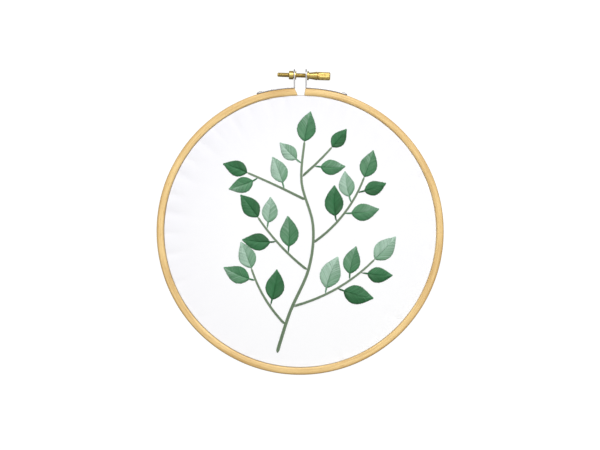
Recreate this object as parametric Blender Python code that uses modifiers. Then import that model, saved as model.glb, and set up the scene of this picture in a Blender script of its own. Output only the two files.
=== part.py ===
"""Embroidery hoop with stitched white cloth: a split wooden outer ring closed by a brass thumb
screw, an inner ring, the cloth stretched between them, and a leafy sprig stitched on the cloth.
The hoop lies on its back, face up, with the screw towards +Y."""

import math

import bmesh
import bpy
from mathutils import Vector

# Rings and cloth, in metres
RING_RADIUS = 0.1
RING_WIDTH = 0.0051
RING_HEIGHT = 0.01
RING_ROUND = 0.0008
INNER_RING_WIDTH = 0.0045
INNER_RING_ROUND = 0.0004
CLOTH_THICKNESS = 0.001
CLOTH_SET_BACK = 0.001
CLOTH_TRIM = 0.0006
CLOTH_ROUND = 0.0008
FIT_GAP = 0.0003
RING_STEPS = 120

# Split in the outer ring: x of each end at its outer and inner face
SPLIT_LEFT = (-0.0037, -0.0018)
SPLIT_RIGHT = (0.0036, 0.0029)

# Sheet-metal lugs: a strap along the ring and a tab that stands up beside the split. A strap's
# length runs along the ring from the middle of the split to its far end.
LUG_METAL = 0.0009
LUG_WIDTH = 0.0086
LUG_BEND = 0.0009
LUG_LEFT_X = -0.004
LUG_RIGHT_X = 0.0042
STRAP_STEPS = 8
STRAP_LEFT = 0.0306
STRAP_RIGHT = 0.0331
RIVET_FROM_END = 0.0024
RIVET_HEAD_RADIUS = 0.002
RIVET_HEAD_HEIGHT = 0.0006
RIVET_SHANK_RADIUS = 0.0006
RIVET_DEPTH = 0.0025
RIVET_STEPS = 16

# Thumb screw and nut; lengths run along the screw's axis from the middle of the hoop
SCREW_Y = 0.1088
SCREW_TILT = math.radians(-1.9)
ROD_RADIUS = 0.00152
ROD_TIP = -0.0159
ROD_CHAMFER = 0.0005
COLLAR_RADIUS = 0.003
COLLAR_LENGTH = 0.0011
NECK_RADIUS = 0.00165
NECK_LENGTH = 0.0059
NECK_FLARE = 1.8
NECK_STEPS = 4
KNOB_RADIUS = 0.00285
KNOB_LENGTH = 0.0091
KNOB_CHAMFER = 0.0006
NUT_LENGTH = 0.0031
NUT_RADIUS = 0.0029
NUT_NECK_RADIUS = 0.0023
NUT_FLANGE_RADIUS = 0.0028
NUT_FLANGE = 0.0005
SCREW_STEPS = 24

# Stitched sprig: raised pads of thread on the cloth's face
STEM_ROUTE = [(-0.016, -0.084), (-0.007, -0.056), (0.006, -0.026), (0.009, 0.004),
              (0.001, 0.034), (0.003, 0.062)]
ROUTE_STEPS = 6
STEM_STEPS = 20
TWIG_STEPS = 8
STEM_HALF_WIDTH = (0.0011, 0.0007)
TWIG_HALF_WIDTH = (0.0008, 0.0006)
STALK_HALF_WIDTH = 0.0005
STALK_LENGTH = 0.003
LEAF_RATIO = 0.62
LEAF_TAPER = 0.8
LEAF_ROUNDNESS = 0.95
LEAF_ROWS = 8
LEAF_SPREAD = 52
LEAF_BEND = 16
LEAF_SHRINK = 0.08
FIRST_LEAF_AT = 0.34
LAST_LEAF_AT = 0.80
TIP_LEAF_SIZE = 0.92
TIP_LEAF_BEND = 6
THREAD_EDGE = 0.0003
THREAD_CROWN = 0.0004

# One row for each twig: where it leaves the stem, its turn from it, its length and bend, the
# number and length of its side leaves, and the thread tone of each leaf, the tip leaf last
TWIGS = [
    {"at": 0.13, "turn": 62, "length": 0.044, "bend": -26, "leaves": 2, "leaf": 0.021, "tones": "dmp"},
    {"at": 0.22, "turn": -52, "length": 0.064, "bend": 30, "leaves": 4, "leaf": 0.023, "tones": "pdmdp"},
    {"at": 0.40, "turn": 70, "length": 0.049, "bend": -18, "leaves": 3, "leaf": 0.021, "tones": "mdpd"},
    {"at": 0.53, "turn": -50, "length": 0.056, "bend": 34, "leaves": 4, "leaf": 0.021, "tones": "dmpdm"},
    {"at": 0.73, "turn": 44, "length": 0.042, "bend": 4, "leaves": 2, "leaf": 0.019, "tones": "pmd"},
    {"at": 0.84, "turn": -52, "length": 0.027, "bend": 8, "leaves": 1, "leaf": 0.017, "tones": "md"},
]
TOP_LEAF = {"length": 0.021, "bend": -10, "tone": "m"}
SIDE_LEAF = {"at": 0.90, "turn": 56, "length": 0.016, "bend": -10, "tone": "p"}

COLOURS = {
    "wood": ((0.83, 0.59, 0.27), 0.5, 0.0),
    "cloth": ((0.93, 0.93, 0.94), 0.9, 0.0),
    "steel": ((0.38, 0.38, 0.40), 0.4, 1.0),
    "brass": ((0.72, 0.50, 0.17), 0.35, 1.0),
    "thread_dark": ((0.02, 0.15, 0.05), 0.6, 0.0),
    "thread_mid": ((0.09, 0.27, 0.14), 0.6, 0.0),
    "thread_pale": ((0.36, 0.54, 0.43), 0.6, 0.0),
    "thread_stem": ((0.19, 0.26, 0.17), 0.6, 0.0),
}
TONES = {"d": "thread_dark", "m": "thread_mid", "p": "thread_pale"}

CLOTH_FACE = RING_HEIGHT - CLOTH_SET_BACK
BORE_RADIUS = RING_RADIUS - RING_WIDTH
LUG_TOP = SCREW_Y + LUG_WIDTH / 2
HOOP_CENTRE = Vector((0, (RING_RADIUS - LUG_TOP) / 2, 0))


def clear_scene():
    for old in list(bpy.data.objects):
        bpy.data.objects.remove(old, do_unlink=True)


def new_collection(name):
    collection = bpy.data.collections.new(name)
    bpy.context.scene.collection.children.link(collection)
    return collection


def make_material(name):
    colour, roughness, metallic = COLOURS[name]
    material = bpy.data.materials.new(name)
    material.use_nodes = True
    shader = material.node_tree.nodes["Principled BSDF"]
    shader.inputs["Base Color"].default_value = (*colour, 1)
    shader.inputs["Roughness"].default_value = roughness
    shader.inputs["Metallic"].default_value = metallic
    material.diffuse_color = (*colour, 1)


def add_object(name, mesh, material, parent, collection="hoop_embroidery"):
    piece = bpy.data.objects.new(name, mesh)
    bpy.data.collections[collection].objects.link(piece)
    if material:
        mesh.materials.append(bpy.data.materials[material])
    piece.parent = parent
    return piece


def make_cutter(cutter):
    """Hide a cutter and show it as wire."""
    cutter.hide_render = True
    cutter.display_type = "WIRE"
    return cutter


def turned(name, profile, steps, material, parent, closed=False):
    """Turn a profile of (radius, height) points, outer side running down, round local Z."""
    mesh = bpy.data.meshes.new(name)
    count = len(profile)
    edges = [(i, (i + 1) % count) for i in range(count if closed else count - 1)]
    mesh.from_pydata([(radius, 0, height) for radius, height in profile], edges, [])
    piece = add_object(name, mesh, material, parent)
    screw = piece.modifiers.new("turn", "SCREW")
    screw.axis = "Z"
    screw.steps = steps
    screw.render_steps = steps
    screw.use_merge_vertices = True
    screw.merge_threshold = 0.00001
    screw.use_smooth_shade = True
    return piece


def plate(name, outline, depth, parent, material=None, collection="hoop_embroidery"):
    """Fill a flat outline in local XY and extrude it to depth, half to each side."""
    curve = bpy.data.curves.new(name, "CURVE")
    curve.dimensions = "2D"
    curve.fill_mode = "BOTH"
    curve.extrude = depth / 2
    spline = curve.splines.new("POLY")
    spline.points.add(len(outline) - 1)
    for point, (x, y) in zip(spline.points, outline):
        point.co = (x, y, 0, 1)
    spline.use_cyclic_u = True
    drawn = bpy.data.objects.new(name + "_outline", curve)
    bpy.data.collections["cutters"].objects.link(drawn)
    bpy.context.view_layer.update()
    evaluated = drawn.evaluated_get(bpy.context.evaluated_depsgraph_get())
    mesh = bpy.data.meshes.new_from_object(evaluated)
    bpy.data.objects.remove(drawn)
    mesh.name = name
    shape = bmesh.new()
    shape.from_mesh(mesh)
    bmesh.ops.remove_doubles(shape, verts=shape.verts, dist=0.000001)
    bmesh.ops.recalc_face_normals(shape, faces=shape.faces)
    shape.to_mesh(mesh)
    shape.free()
    return add_object(name, mesh, material, parent, collection)


def rod_cutter(name, radius, length, direction, centre, parent):
    """A cylinder along a direction, for drilling."""
    mesh = bpy.data.meshes.new(name)
    shape = bmesh.new()
    bmesh.ops.create_cone(shape, cap_ends=True, segments=SCREW_STEPS, radius1=radius,
                          radius2=radius, depth=length)
    shape.to_mesh(mesh)
    shape.free()
    cutter = make_cutter(add_object(name, mesh, None, parent, "cutters"))
    cutter.rotation_euler = Vector(direction).to_track_quat("Z", "Y").to_euler()
    cutter.location = centre
    return cutter


def combine(piece, other, operation):
    boolean = piece.modifiers.new(other.name, "BOOLEAN")
    boolean.object = other
    boolean.operation = operation


def arc(radius, start, end, count, centre=(0, 0)):
    """Points on an arc, angles in radians from +X, both ends included."""
    angles = [start + (end - start) * i / count for i in range(count + 1)]
    return [(centre[0] + radius * math.cos(a), centre[1] + radius * math.sin(a)) for a in angles]


def rounded_section(inner, outer, bottom, top, corner):
    """A ring's section with rounded corners, outer side running down, as a closed loop."""
    quarter = math.pi / 2
    return (arc(corner, quarter, 0, 2, (outer - corner, top - corner))
            + arc(corner, 0, -quarter, 2, (outer - corner, bottom + corner))
            + arc(corner, -quarter, -2 * quarter, 1, (inner + corner, bottom + corner))
            + arc(corner, -2 * quarter, -3 * quarter, 1, (inner + corner, top - corner)))


def build_outer_ring(hoop):
    section = rounded_section(BORE_RADIUS, RING_RADIUS, 0, RING_HEIGHT, RING_ROUND)
    ring = turned("outer_ring", section, RING_STEPS, "wood", hoop, closed=True)
    above = RING_RADIUS + RING_ROUND
    below = BORE_RADIUS - RING_ROUND
    outline = [(SPLIT_LEFT[1], below), (SPLIT_RIGHT[1], below), (SPLIT_RIGHT[0], above),
               (SPLIT_LEFT[0], above)]
    split = make_cutter(plate("split_cutter", outline, 4 * RING_HEIGHT, hoop, None, "cutters"))
    combine(ring, split, "DIFFERENCE")
    for side, strap in (("left", STRAP_LEFT), ("right", STRAP_RIGHT)):
        direction = rivet_direction(side, strap)
        depth = RIVET_DEPTH + FIT_GAP
        hole = rod_cutter(f"{side}_pilot_cutter", RIVET_SHANK_RADIUS + FIT_GAP, 2 * depth, direction,
                          direction * RING_RADIUS + Vector((0, 0, RING_HEIGHT / 2)), hoop)
        combine(ring, hole, "DIFFERENCE")


def build_inner_ring(hoop):
    outer = BORE_RADIUS - 2 * FIT_GAP - CLOTH_THICKNESS
    top = CLOTH_FACE - CLOTH_THICKNESS - FIT_GAP
    section = rounded_section(outer - INNER_RING_WIDTH, outer, 0, top, INNER_RING_ROUND)
    turned("inner_ring", section, RING_STEPS, "wood", hoop, closed=True)


def build_cloth(hoop):
    outer = BORE_RADIUS - FIT_GAP
    inner = outer - CLOTH_THICKNESS
    shoulder = arc(CLOTH_ROUND, math.pi / 2, 0, 2, (outer - CLOTH_ROUND, CLOTH_FACE - CLOTH_ROUND))
    profile = [(0, CLOTH_FACE), *shoulder, (outer, CLOTH_TRIM), (inner, CLOTH_TRIM),
               (inner, CLOTH_FACE - CLOTH_THICKNESS), (0, CLOTH_FACE - CLOTH_THICKNESS)]
    turned("cloth", profile, RING_STEPS, "cloth", hoop)


def screw_point(distance):
    """A point on the screw's axis, in the hoop's frame."""
    direction = Vector((math.cos(SCREW_TILT), math.sin(SCREW_TILT), 0))
    return Vector((0, SCREW_Y, RING_HEIGHT / 2)) + direction * distance


def rivet_direction(side, strap):
    """From the hoop's centre out through the rivet at the strap's far end."""
    angle = (strap - RIVET_FROM_END) / RING_RADIUS * (-1 if side == "left" else 1)
    return Vector((math.sin(angle), math.cos(angle), 0))


def build_lug(side, tab_x, strap, hole_radius, hoop):
    """The lug's outline seen from the front, cut to a round-topped tab and drilled."""
    sign = -1 if side == "left" else 1
    low = RING_RADIUS + FIT_GAP
    high = low + LUG_METAL
    near = abs(tab_x) - LUG_METAL / 2
    far = abs(tab_x) + LUG_METAL / 2
    end = strap / RING_RADIUS
    top = LUG_TOP + LUG_METAL
    bend_start = math.asin((near + LUG_BEND) / low)
    bend_y = low * math.cos(bend_start) + LUG_BEND
    along_inside = arc(low, math.pi / 2 - end, math.pi / 2 - bend_start, STRAP_STEPS)
    bend = arc(LUG_BEND, -math.pi / 2, -math.pi, 3, (near + LUG_BEND, bend_y))
    along_outside = arc(high, math.pi / 2 - math.asin(far / high), math.pi / 2 - end, STRAP_STEPS)
    outline = along_inside + bend[1:] + [(near, top), (far, top)] + along_outside
    outline = [(sign * x, y) for x, y in outline]
    lug = plate(f"{side}_lug", outline, LUG_WIDTH, hoop, "steel")
    lug.location.z = RING_HEIGHT / 2

    round_top = arc(LUG_WIDTH / 2, 0, math.pi, 12, (0, SCREW_Y))
    sides = [(-LUG_WIDTH, SCREW_Y), (-LUG_WIDTH, 0), (LUG_WIDTH, 0), (LUG_WIDTH, SCREW_Y)]
    keep = make_cutter(plate(f"{side}_round_cutter", round_top + sides, RING_RADIUS, hoop, None, "cutters"))
    keep.rotation_euler = (0, math.pi / 2, 0)
    keep.location.z = RING_HEIGHT / 2
    combine(lug, keep, "INTERSECT")

    axis = screw_point(1) - screw_point(0)
    bolt_hole = rod_cutter(f"{side}_bolt_cutter", hole_radius, 4 * LUG_METAL, axis,
                           screw_point(tab_x), hoop)
    combine(lug, bolt_hole, "DIFFERENCE")
    direction = rivet_direction(side, strap)
    rivet_hole = rod_cutter(f"{side}_rivet_cutter", RIVET_SHANK_RADIUS + FIT_GAP, 6 * LUG_METAL,
                            direction, direction * high + Vector((0, 0, RING_HEIGHT / 2)), hoop)
    combine(lug, rivet_hole, "DIFFERENCE")


def build_rivet(side, strap, hoop):
    """A domed head over the strap, with a shank through it into the ring."""
    seat = RING_RADIUS + 2 * FIT_GAP + LUG_METAL
    tip = RING_RADIUS - RIVET_DEPTH
    dome = [(RIVET_HEAD_RADIUS * math.sin(a), seat + RIVET_HEAD_HEIGHT * math.cos(a))
            for a in (0, math.pi / 6, math.pi / 3, math.pi / 2)]
    profile = dome + [(RIVET_SHANK_RADIUS, seat), (RIVET_SHANK_RADIUS, tip), (0, tip)]
    rivet = turned(f"{side}_rivet", profile, RIVET_STEPS, "steel", hoop)
    rivet.rotation_euler = rivet_direction(side, strap).to_track_quat("Z", "Y").to_euler()
    rivet.location.z = RING_HEIGHT / 2


def build_nut(axis):
    """A nut clinched in the left lug: body outside, neck in the hole, flange inside."""
    bore = ROD_RADIUS + FIT_GAP
    tab_inside = LUG_LEFT_X + LUG_METAL / 2 + FIT_GAP
    tab_outside = LUG_LEFT_X - LUG_METAL / 2 - FIT_GAP
    flange_end = tab_inside + NUT_FLANGE
    body_end = tab_outside - NUT_LENGTH
    profile = [(bore, flange_end), (NUT_FLANGE_RADIUS, flange_end), (NUT_FLANGE_RADIUS, tab_inside),
               (NUT_NECK_RADIUS, tab_inside), (NUT_NECK_RADIUS, tab_outside), (NUT_RADIUS, tab_outside),
               (NUT_RADIUS, body_end), (bore, body_end)]
    turned("nut", profile, SCREW_STEPS, "brass", axis, closed=True)


def build_thumb_screw(axis):
    """Knob, flared neck, collar and rod in one turned piece."""
    collar = LUG_RIGHT_X + LUG_METAL / 2 + FIT_GAP
    neck = collar + COLLAR_LENGTH
    knob = neck + NECK_LENGTH
    top = knob + KNOB_LENGTH
    flare_end = KNOB_RADIUS - KNOB_CHAMFER / 2
    flare = []
    for step in range(NECK_STEPS + 1):
        share = 1 - step / NECK_STEPS
        radius = NECK_RADIUS + (flare_end - NECK_RADIUS) * share ** NECK_FLARE
        flare.append((radius, neck + NECK_LENGTH * share))
    profile = [(0, top), (KNOB_RADIUS - KNOB_CHAMFER, top), (KNOB_RADIUS, top - KNOB_CHAMFER),
               (KNOB_RADIUS, knob + KNOB_CHAMFER), *flare, (COLLAR_RADIUS, neck),
               (COLLAR_RADIUS, collar), (ROD_RADIUS, collar), (ROD_RADIUS, ROD_TIP + ROD_CHAMFER),
               (ROD_RADIUS - ROD_CHAMFER, ROD_TIP), (0, ROD_TIP)]
    turned("thumb_screw", profile, SCREW_STEPS, "brass", axis)


def smooth_route(points, steps):
    """A Catmull-Rom curve through the points."""
    points = [Vector(p) for p in points]
    padded = [points[0], *points, points[-1]]
    route = []
    for a, b, c, d in zip(padded, padded[1:], padded[2:], padded[3:]):
        for step in range(steps):
            t = step / steps
            route.append(0.5 * (2 * b + (c - a) * t + (2 * a - 5 * b + 4 * c - d) * t ** 2
                                + (3 * b - a - 3 * c + d) * t ** 3))
    route.append(points[-1])
    return route


def bent_route(start, heading, length, bend, steps=12):
    """A route of even bend from a point; heading and bend in degrees."""
    route = [Vector(start)]
    for step in range(steps):
        route.append(along(route[-1], heading + bend * (step + 0.5) / steps, length / steps))
    return route


def place_on(route, share):
    """The point and heading in degrees at a share of the route's length."""
    runs = [(b - a).length for a, b in zip(route, route[1:])]
    left = share * sum(runs)
    for start, end, run in zip(route, route[1:], runs):
        if left <= run or end is route[-1]:
            break
        left -= run
    step = end - start
    return start + step * (left / run), math.degrees(math.atan2(step.y, step.x))


def along(point, heading, distance):
    """The point at a distance from another, along a heading in degrees."""
    angle = math.radians(heading)
    return point + Vector((math.cos(angle), math.sin(angle))) * distance


def past_end(route):
    """Just clear of a route's end: the point and the heading there."""
    end, heading = place_on(route, 1)
    return along(end, heading, FIT_GAP), heading


def clear_start(carrier_half, half, turn):
    """How far from a carrier's centre line a pad that turns off it begins, to stand clear."""
    angle = math.radians(abs(turn))
    return (carrier_half + FIT_GAP + half * math.cos(angle)) / math.sin(angle)


def thread_pad(name, rows, tone, hoop):
    """A crowned pad of thread; each row is a centre, a heading in degrees and a half width."""
    widest = max(half for centre, heading, half in rows)
    mesh = bpy.data.meshes.new(name)
    shape = bmesh.new()
    lines = []
    for centre, heading, half in rows:
        side = Vector((-math.sin(math.radians(heading)), math.cos(math.radians(heading)))) * half
        lines.append([shape.verts.new((*(centre + side * s), 0)) for s in (1, 0, -1)])
    for (a, b, c), (d, e, f) in zip(lines, lines[1:]):
        shape.faces.new((a, b, e, d))
        shape.faces.new((b, c, f, e))
    heights = {}
    for line, (centre, heading, half) in zip(lines, rows):
        heights[line[1].co.to_tuple(6)] = THREAD_CROWN * math.sqrt(half / widest)
    raised = bmesh.ops.extrude_face_region(shape, geom=shape.faces[:])["geom"]
    for vert in raised:
        if isinstance(vert, bmesh.types.BMVert):
            crown = heights.get(vert.co.to_tuple(6), 0)
            vert.co.z = THREAD_EDGE + crown
    bmesh.ops.recalc_face_normals(shape, faces=shape.faces)
    shape.to_mesh(mesh)
    shape.free()
    piece = add_object(name, mesh, tone, hoop)
    piece.location.z = CLOTH_FACE + FIT_GAP
    return piece


def line_rows(route, widths, steps):
    """Rows for a stem or twig that narrows along its route."""
    rows = []
    for step in range(steps + 1):
        share = step / steps
        rows.append((*place_on(route, share), widths[0] + (widths[1] - widths[0]) * share))
    return rows


def leaf_rows(start, heading, length, bend, stalk):
    """Rows for a pointed oval leaf on a thin stalk."""
    route = bent_route(start, heading, stalk + length, bend)
    rows = [(Vector(start), heading, STALK_HALF_WIDTH)]
    for step in range(LEAF_ROWS + 1):
        share = step / LEAF_ROWS
        fullness = max(0, math.sin(math.pi * share ** LEAF_TAPER)) ** LEAF_ROUNDNESS
        half = max(STALK_HALF_WIDTH, length * LEAF_RATIO / 2 * fullness)
        rows.append((*place_on(route, (stalk + share * length) / (stalk + length)), half))
    return rows


def build_sprig(hoop):
    """Main stem, twigs and their leaves, none touching another."""
    stem = smooth_route(STEM_ROUTE, ROUTE_STEPS)
    thread_pad("main_stem", line_rows(stem, STEM_HALF_WIDTH, STEM_STEPS), "thread_stem", hoop)
    leaves = []

    def add_leaf(start, heading, length, bend, stalk, tone):
        leaves.append(thread_pad(f"leaf_{len(leaves) + 1:02d}",
                                 leaf_rows(start, heading, length, bend, stalk), TONES[tone], hoop))

    def off_carrier(route, share, carrier_half, half, turn):
        centre, heading = place_on(route, share)
        return along(centre, heading + turn, clear_start(carrier_half, half, turn)), heading + turn

    for number, twig in enumerate(TWIGS, start=1):
        start, heading = off_carrier(stem, twig["at"], STEM_HALF_WIDTH[0], TWIG_HALF_WIDTH[0], twig["turn"])
        route = bent_route(start, heading, twig["length"], twig["bend"])
        thread_pad(f"twig_{number}", line_rows(route, TWIG_HALF_WIDTH, TWIG_STEPS), "thread_stem", hoop)
        outward = -1 if twig["turn"] > 0 else 1
        for index in range(twig["leaves"]):
            spread = index / max(1, twig["leaves"] - 1)
            share = FIRST_LEAF_AT + (LAST_LEAF_AT - FIRST_LEAF_AT) * spread
            side = outward if index % 2 == 0 and twig["leaves"] > 1 else -outward
            start, heading = off_carrier(route, share, TWIG_HALF_WIDTH[0], STALK_HALF_WIDTH,
                                         side * LEAF_SPREAD)
            add_leaf(start, heading, twig["leaf"] * (1 - LEAF_SHRINK * index), -side * LEAF_BEND,
                     STALK_LENGTH, twig["tones"][index])
        add_leaf(*past_end(route), twig["leaf"] * TIP_LEAF_SIZE, TIP_LEAF_BEND, FIT_GAP, twig["tones"][-1])

    add_leaf(*past_end(stem), TOP_LEAF["length"], TOP_LEAF["bend"], FIT_GAP, TOP_LEAF["tone"])
    start, heading = off_carrier(stem, SIDE_LEAF["at"], STEM_HALF_WIDTH[0], STALK_HALF_WIDTH,
                                 SIDE_LEAF["turn"])
    add_leaf(start, heading, SIDE_LEAF["length"], SIDE_LEAF["bend"], STALK_LENGTH, SIDE_LEAF["tone"])


def shade(collection):
    """Smooth the rounds and keep the edges."""
    for piece in collection.objects:
        if piece.type == "MESH" and not piece.modifiers.get("turn"):
            piece.data.shade_smooth()
            piece.data.set_sharp_from_angle(angle=math.radians(35))


def main():
    clear_scene()
    parts = new_collection("hoop_embroidery")
    new_collection("cutters")
    for name in COLOURS:
        make_material(name)
    hoop = bpy.data.objects.new("hoop_centre", None)
    hoop.location = HOOP_CENTRE
    parts.objects.link(hoop)
    axis = bpy.data.objects.new("screw_axis", None)
    axis.parent = hoop
    axis.location = screw_point(0)
    axis.rotation_euler = (screw_point(1) - screw_point(0)).to_track_quat("Z", "Y").to_euler()
    parts.objects.link(axis)

    build_outer_ring(hoop)
    build_inner_ring(hoop)
    build_cloth(hoop)
    build_lug("left", LUG_LEFT_X, STRAP_LEFT, NUT_NECK_RADIUS + FIT_GAP, hoop)
    build_lug("right", LUG_RIGHT_X, STRAP_RIGHT, ROD_RADIUS + FIT_GAP, hoop)
    build_rivet("left", STRAP_LEFT, hoop)
    build_rivet("right", STRAP_RIGHT, hoop)
    build_nut(axis)
    build_thumb_screw(axis)
    build_sprig(hoop)
    shade(parts)


main()
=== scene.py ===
import random
from math import acos, atan2, copysign, cos, degrees, exp, pi, radians, sin, sqrt, tan, tau

import bmesh
import bpy
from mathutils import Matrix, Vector, noise


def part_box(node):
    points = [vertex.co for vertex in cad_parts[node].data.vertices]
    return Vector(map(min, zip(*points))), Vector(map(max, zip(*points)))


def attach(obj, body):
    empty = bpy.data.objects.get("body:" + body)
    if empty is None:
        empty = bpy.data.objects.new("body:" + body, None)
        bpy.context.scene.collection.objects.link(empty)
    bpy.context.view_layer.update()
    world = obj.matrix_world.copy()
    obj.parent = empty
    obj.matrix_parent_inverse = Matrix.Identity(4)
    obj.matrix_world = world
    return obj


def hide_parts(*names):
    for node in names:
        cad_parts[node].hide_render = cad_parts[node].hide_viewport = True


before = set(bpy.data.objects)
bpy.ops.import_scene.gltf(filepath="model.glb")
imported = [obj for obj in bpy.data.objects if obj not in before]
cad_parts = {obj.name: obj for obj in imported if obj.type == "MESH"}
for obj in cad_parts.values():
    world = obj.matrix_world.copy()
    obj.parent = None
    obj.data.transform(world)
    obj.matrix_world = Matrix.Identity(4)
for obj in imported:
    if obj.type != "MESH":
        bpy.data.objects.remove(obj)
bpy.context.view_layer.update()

scene = bpy.context.scene
mm = 0.001
up = Vector((0, 0, 1))


# a piece's sizes in metres, from millimetres
def lengths(**sizes):
    return {name: size * mm for name, size in sizes.items()}


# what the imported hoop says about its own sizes
ringLow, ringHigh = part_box("outer_ring")
clothLow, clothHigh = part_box("cloth")
hoop = {
    "centre": Vector(((clothLow.x + clothHigh.x) / 2, (clothLow.y + clothHigh.y) / 2, 0)),
    "radius": ringHigh.x, "height": ringHigh.z,
    "clothRadius": (clothHigh.x - clothLow.x) / 2 + 0.2 * mm,  # pressed close to the outer ring
    "clothFace": clothHigh.z, "clothEdge": clothLow.z,
}

camera = {
    "imageWidth": 600, "imageHeight": 450,
    "ringPixels": 287.5,  # the hoop's width in the picture
    "ringCentrePixel": (300.15, 231.25), "distance": 1.3, "sensor": 36.0,
}

light = {
    "horizon": 0.10, "zenith": 0.95,  # the sky's brightness low down and overhead
    "rise": 1.6,
    "lean": 0.12,  # brighter behind the screw than behind the foot
    "lamps": {
        "key": {"power": 27.0, "size": 1.35, "place": (0.52, 1.27, 1.57)},
        "fill": {"power": 7.9, "size": 0.75, "place": (-0.75, 1.38, 1.5)},
    },
    "floor": 0.45,
    "paper": 1.25,  # the floor as the camera sees it, like lit paper
    "paperShare": 0.78,
}


def step(text):
    print("hoop embroidery:", text)


def mix(a, b, share):
    return a + (b - a) * share


def evenly(count):
    return [i / count for i in range(count + 1)]


def clamp(value, low=0.0, high=1.0):
    return max(low, min(high, value))


def smoothStep(low, high, value):
    share = clamp((value - low) / (high - low))
    return share * share * (3 - 2 * share)


# small helpers for shader trees
def feed(tree, socket, value):
    if isinstance(value, bpy.types.NodeSocket):
        tree.links.new(value, socket)
    elif value is not None:
        socket.default_value = value


def addNode(tree, kind, *values, **settings):
    node = tree.nodes.new("ShaderNode" + kind)
    for name, value in settings.items():
        setattr(node, name, value)
    for socket, value in zip(node.inputs, values):
        feed(tree, socket, value)
    return node


def mathNode(tree, operation, first, second=None, third=None, clampIt=False):
    return addNode(tree, "Math", first, second, third, operation=operation, use_clamp=clampIt).outputs[0]


def times(tree, first, second, clampIt=False):
    return mathNode(tree, "MULTIPLY", first, second, clampIt=clampIt)


def scaled(tree, value, gain, lift, clampIt=False):
    return mathNode(tree, "MULTIPLY_ADD", value, gain, lift, clampIt)


def vectorNode(tree, operation, first, second=None):
    node = addNode(tree, "VectorMath", first, second, operation=operation)
    return node.outputs["Value" if operation == "DOT_PRODUCT" else "Vector"]


def mixColour(tree, share, first, second):
    others = [None] * 5  # this node's sockets for other kinds of value
    return addNode(tree, "Mix", share, *others, first, second, data_type="RGBA").outputs[2]


def splitVector(tree, value):
    return addNode(tree, "SeparateXYZ", value).outputs


def joinVector(tree, x, y, z):
    return addNode(tree, "CombineXYZ", x, y, z).outputs[0]


# a place seen from the hoop's centre, and how far out it is
def fromCentre(tree, place, centre):
    offset = vectorNode(tree, "SUBTRACT", place, centre)
    x, y, z = splitVector(tree, offset)
    squares = mathNode(tree, "ADD", times(tree, x, x), times(tree, y, y))
    return offset, mathNode(tree, "SQRT", squares)


def noiseNode(tree, place, scale, detail=2.0, roughness=0.5, w=None):
    node = addNode(tree, "TexNoise", place, w, scale, detail, roughness,
                   noise_dimensions="3D" if w is None else "4D")
    return node.outputs["Fac"]


def newGroup(name, inputs, outputs):
    group = bpy.data.node_groups.new(name, "ShaderNodeTree")
    for way, sockets in (("INPUT", inputs), ("OUTPUT", outputs)):
        for label, kind in sockets.items():
            group.interface.new_socket(label, in_out=way, socket_type=kind)
    return group, group.nodes.new("NodeGroupInput").outputs, group.nodes.new("NodeGroupOutput").inputs


def useGroup(tree, group, **values):
    node = addNode(tree, "Group", node_tree=group)
    for name, value in values.items():
        feed(tree, node.inputs[name], value)
    return node.outputs


def newMaterial(name, **uniform):
    material = bpy.data.materials.new(name)
    material.use_nodes = True
    tree = material.node_tree
    shader = tree.nodes["Principled BSDF"]
    for socket, value in uniform.items():
        shader.inputs[socket.replace("_", " ")].default_value = value
    return material, tree, shader


def addBump(tree, shader, height, strength, distance):
    bump = addNode(tree, "Bump")
    bump.inputs["Strength"].default_value = strength
    bump.inputs["Distance"].default_value = distance
    tree.links.new(height, bump.inputs["Height"])
    tree.links.new(bump.outputs["Normal"], shader.inputs["Normal"])


def objectPlace(tree):
    return addNode(tree, "TexCoord").outputs["Object"]


step("materials")
number, vector, colour = "NodeSocketFloat", "NodeSocketVector", "NodeSocketColor"
surface = {"Color": colour, "Roughness": number, "Height": number}

woods = {
    # the edge colours are painted shade on each ring's outer rounded edge
    "outer": {"light": (0.86, 0.615, 0.262, 1), "dark": (0.58, 0.35, 0.115, 1), "contrast": 1.0,
              "edge": (0.50, 0.28, 0.075, 1), "rim": hoop["radius"], "centre": hoop["centre"]},
    "inner": {"light": (0.78, 0.58, 0.31, 1), "dark": (0.50, 0.33, 0.15, 1), "contrast": 1.1,
              "edge": (0.52, 0.32, 0.12, 1), "rim": hoop["clothRadius"], "centre": hoop["centre"]},
    "layers": [  # scale round the ring and across it, detail and weight
        ("bands", 26.0, 900.0, 3.0, 2.4),
        ("fibres", 60.0, 2600.0, 3.0, 0.8),
        ("patches", 34.0, 90.0, 2.0, 1.3),
        ("flecks", 260.0, 2400.0, 1.0, 0.4),
    ],
    "layerRoughness": 0.6, "paleness": -1.93, "fleckFrom": 0.64, "fleckSink": -0.3,
    "shadedEdgeWidth": 1.9 * mm,  # painted shade: the outer edge is darker, in patches
    "shadedEdgePatches": (0.8, 0.2),
    "roughness": (0.2, 0.4),  # gain and least
    "bump": 0.4, "grainDepth": 0.06 * mm,
}
varnish = {"Coat_Weight": 0.25, "Coat_Roughness": 0.3}
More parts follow.
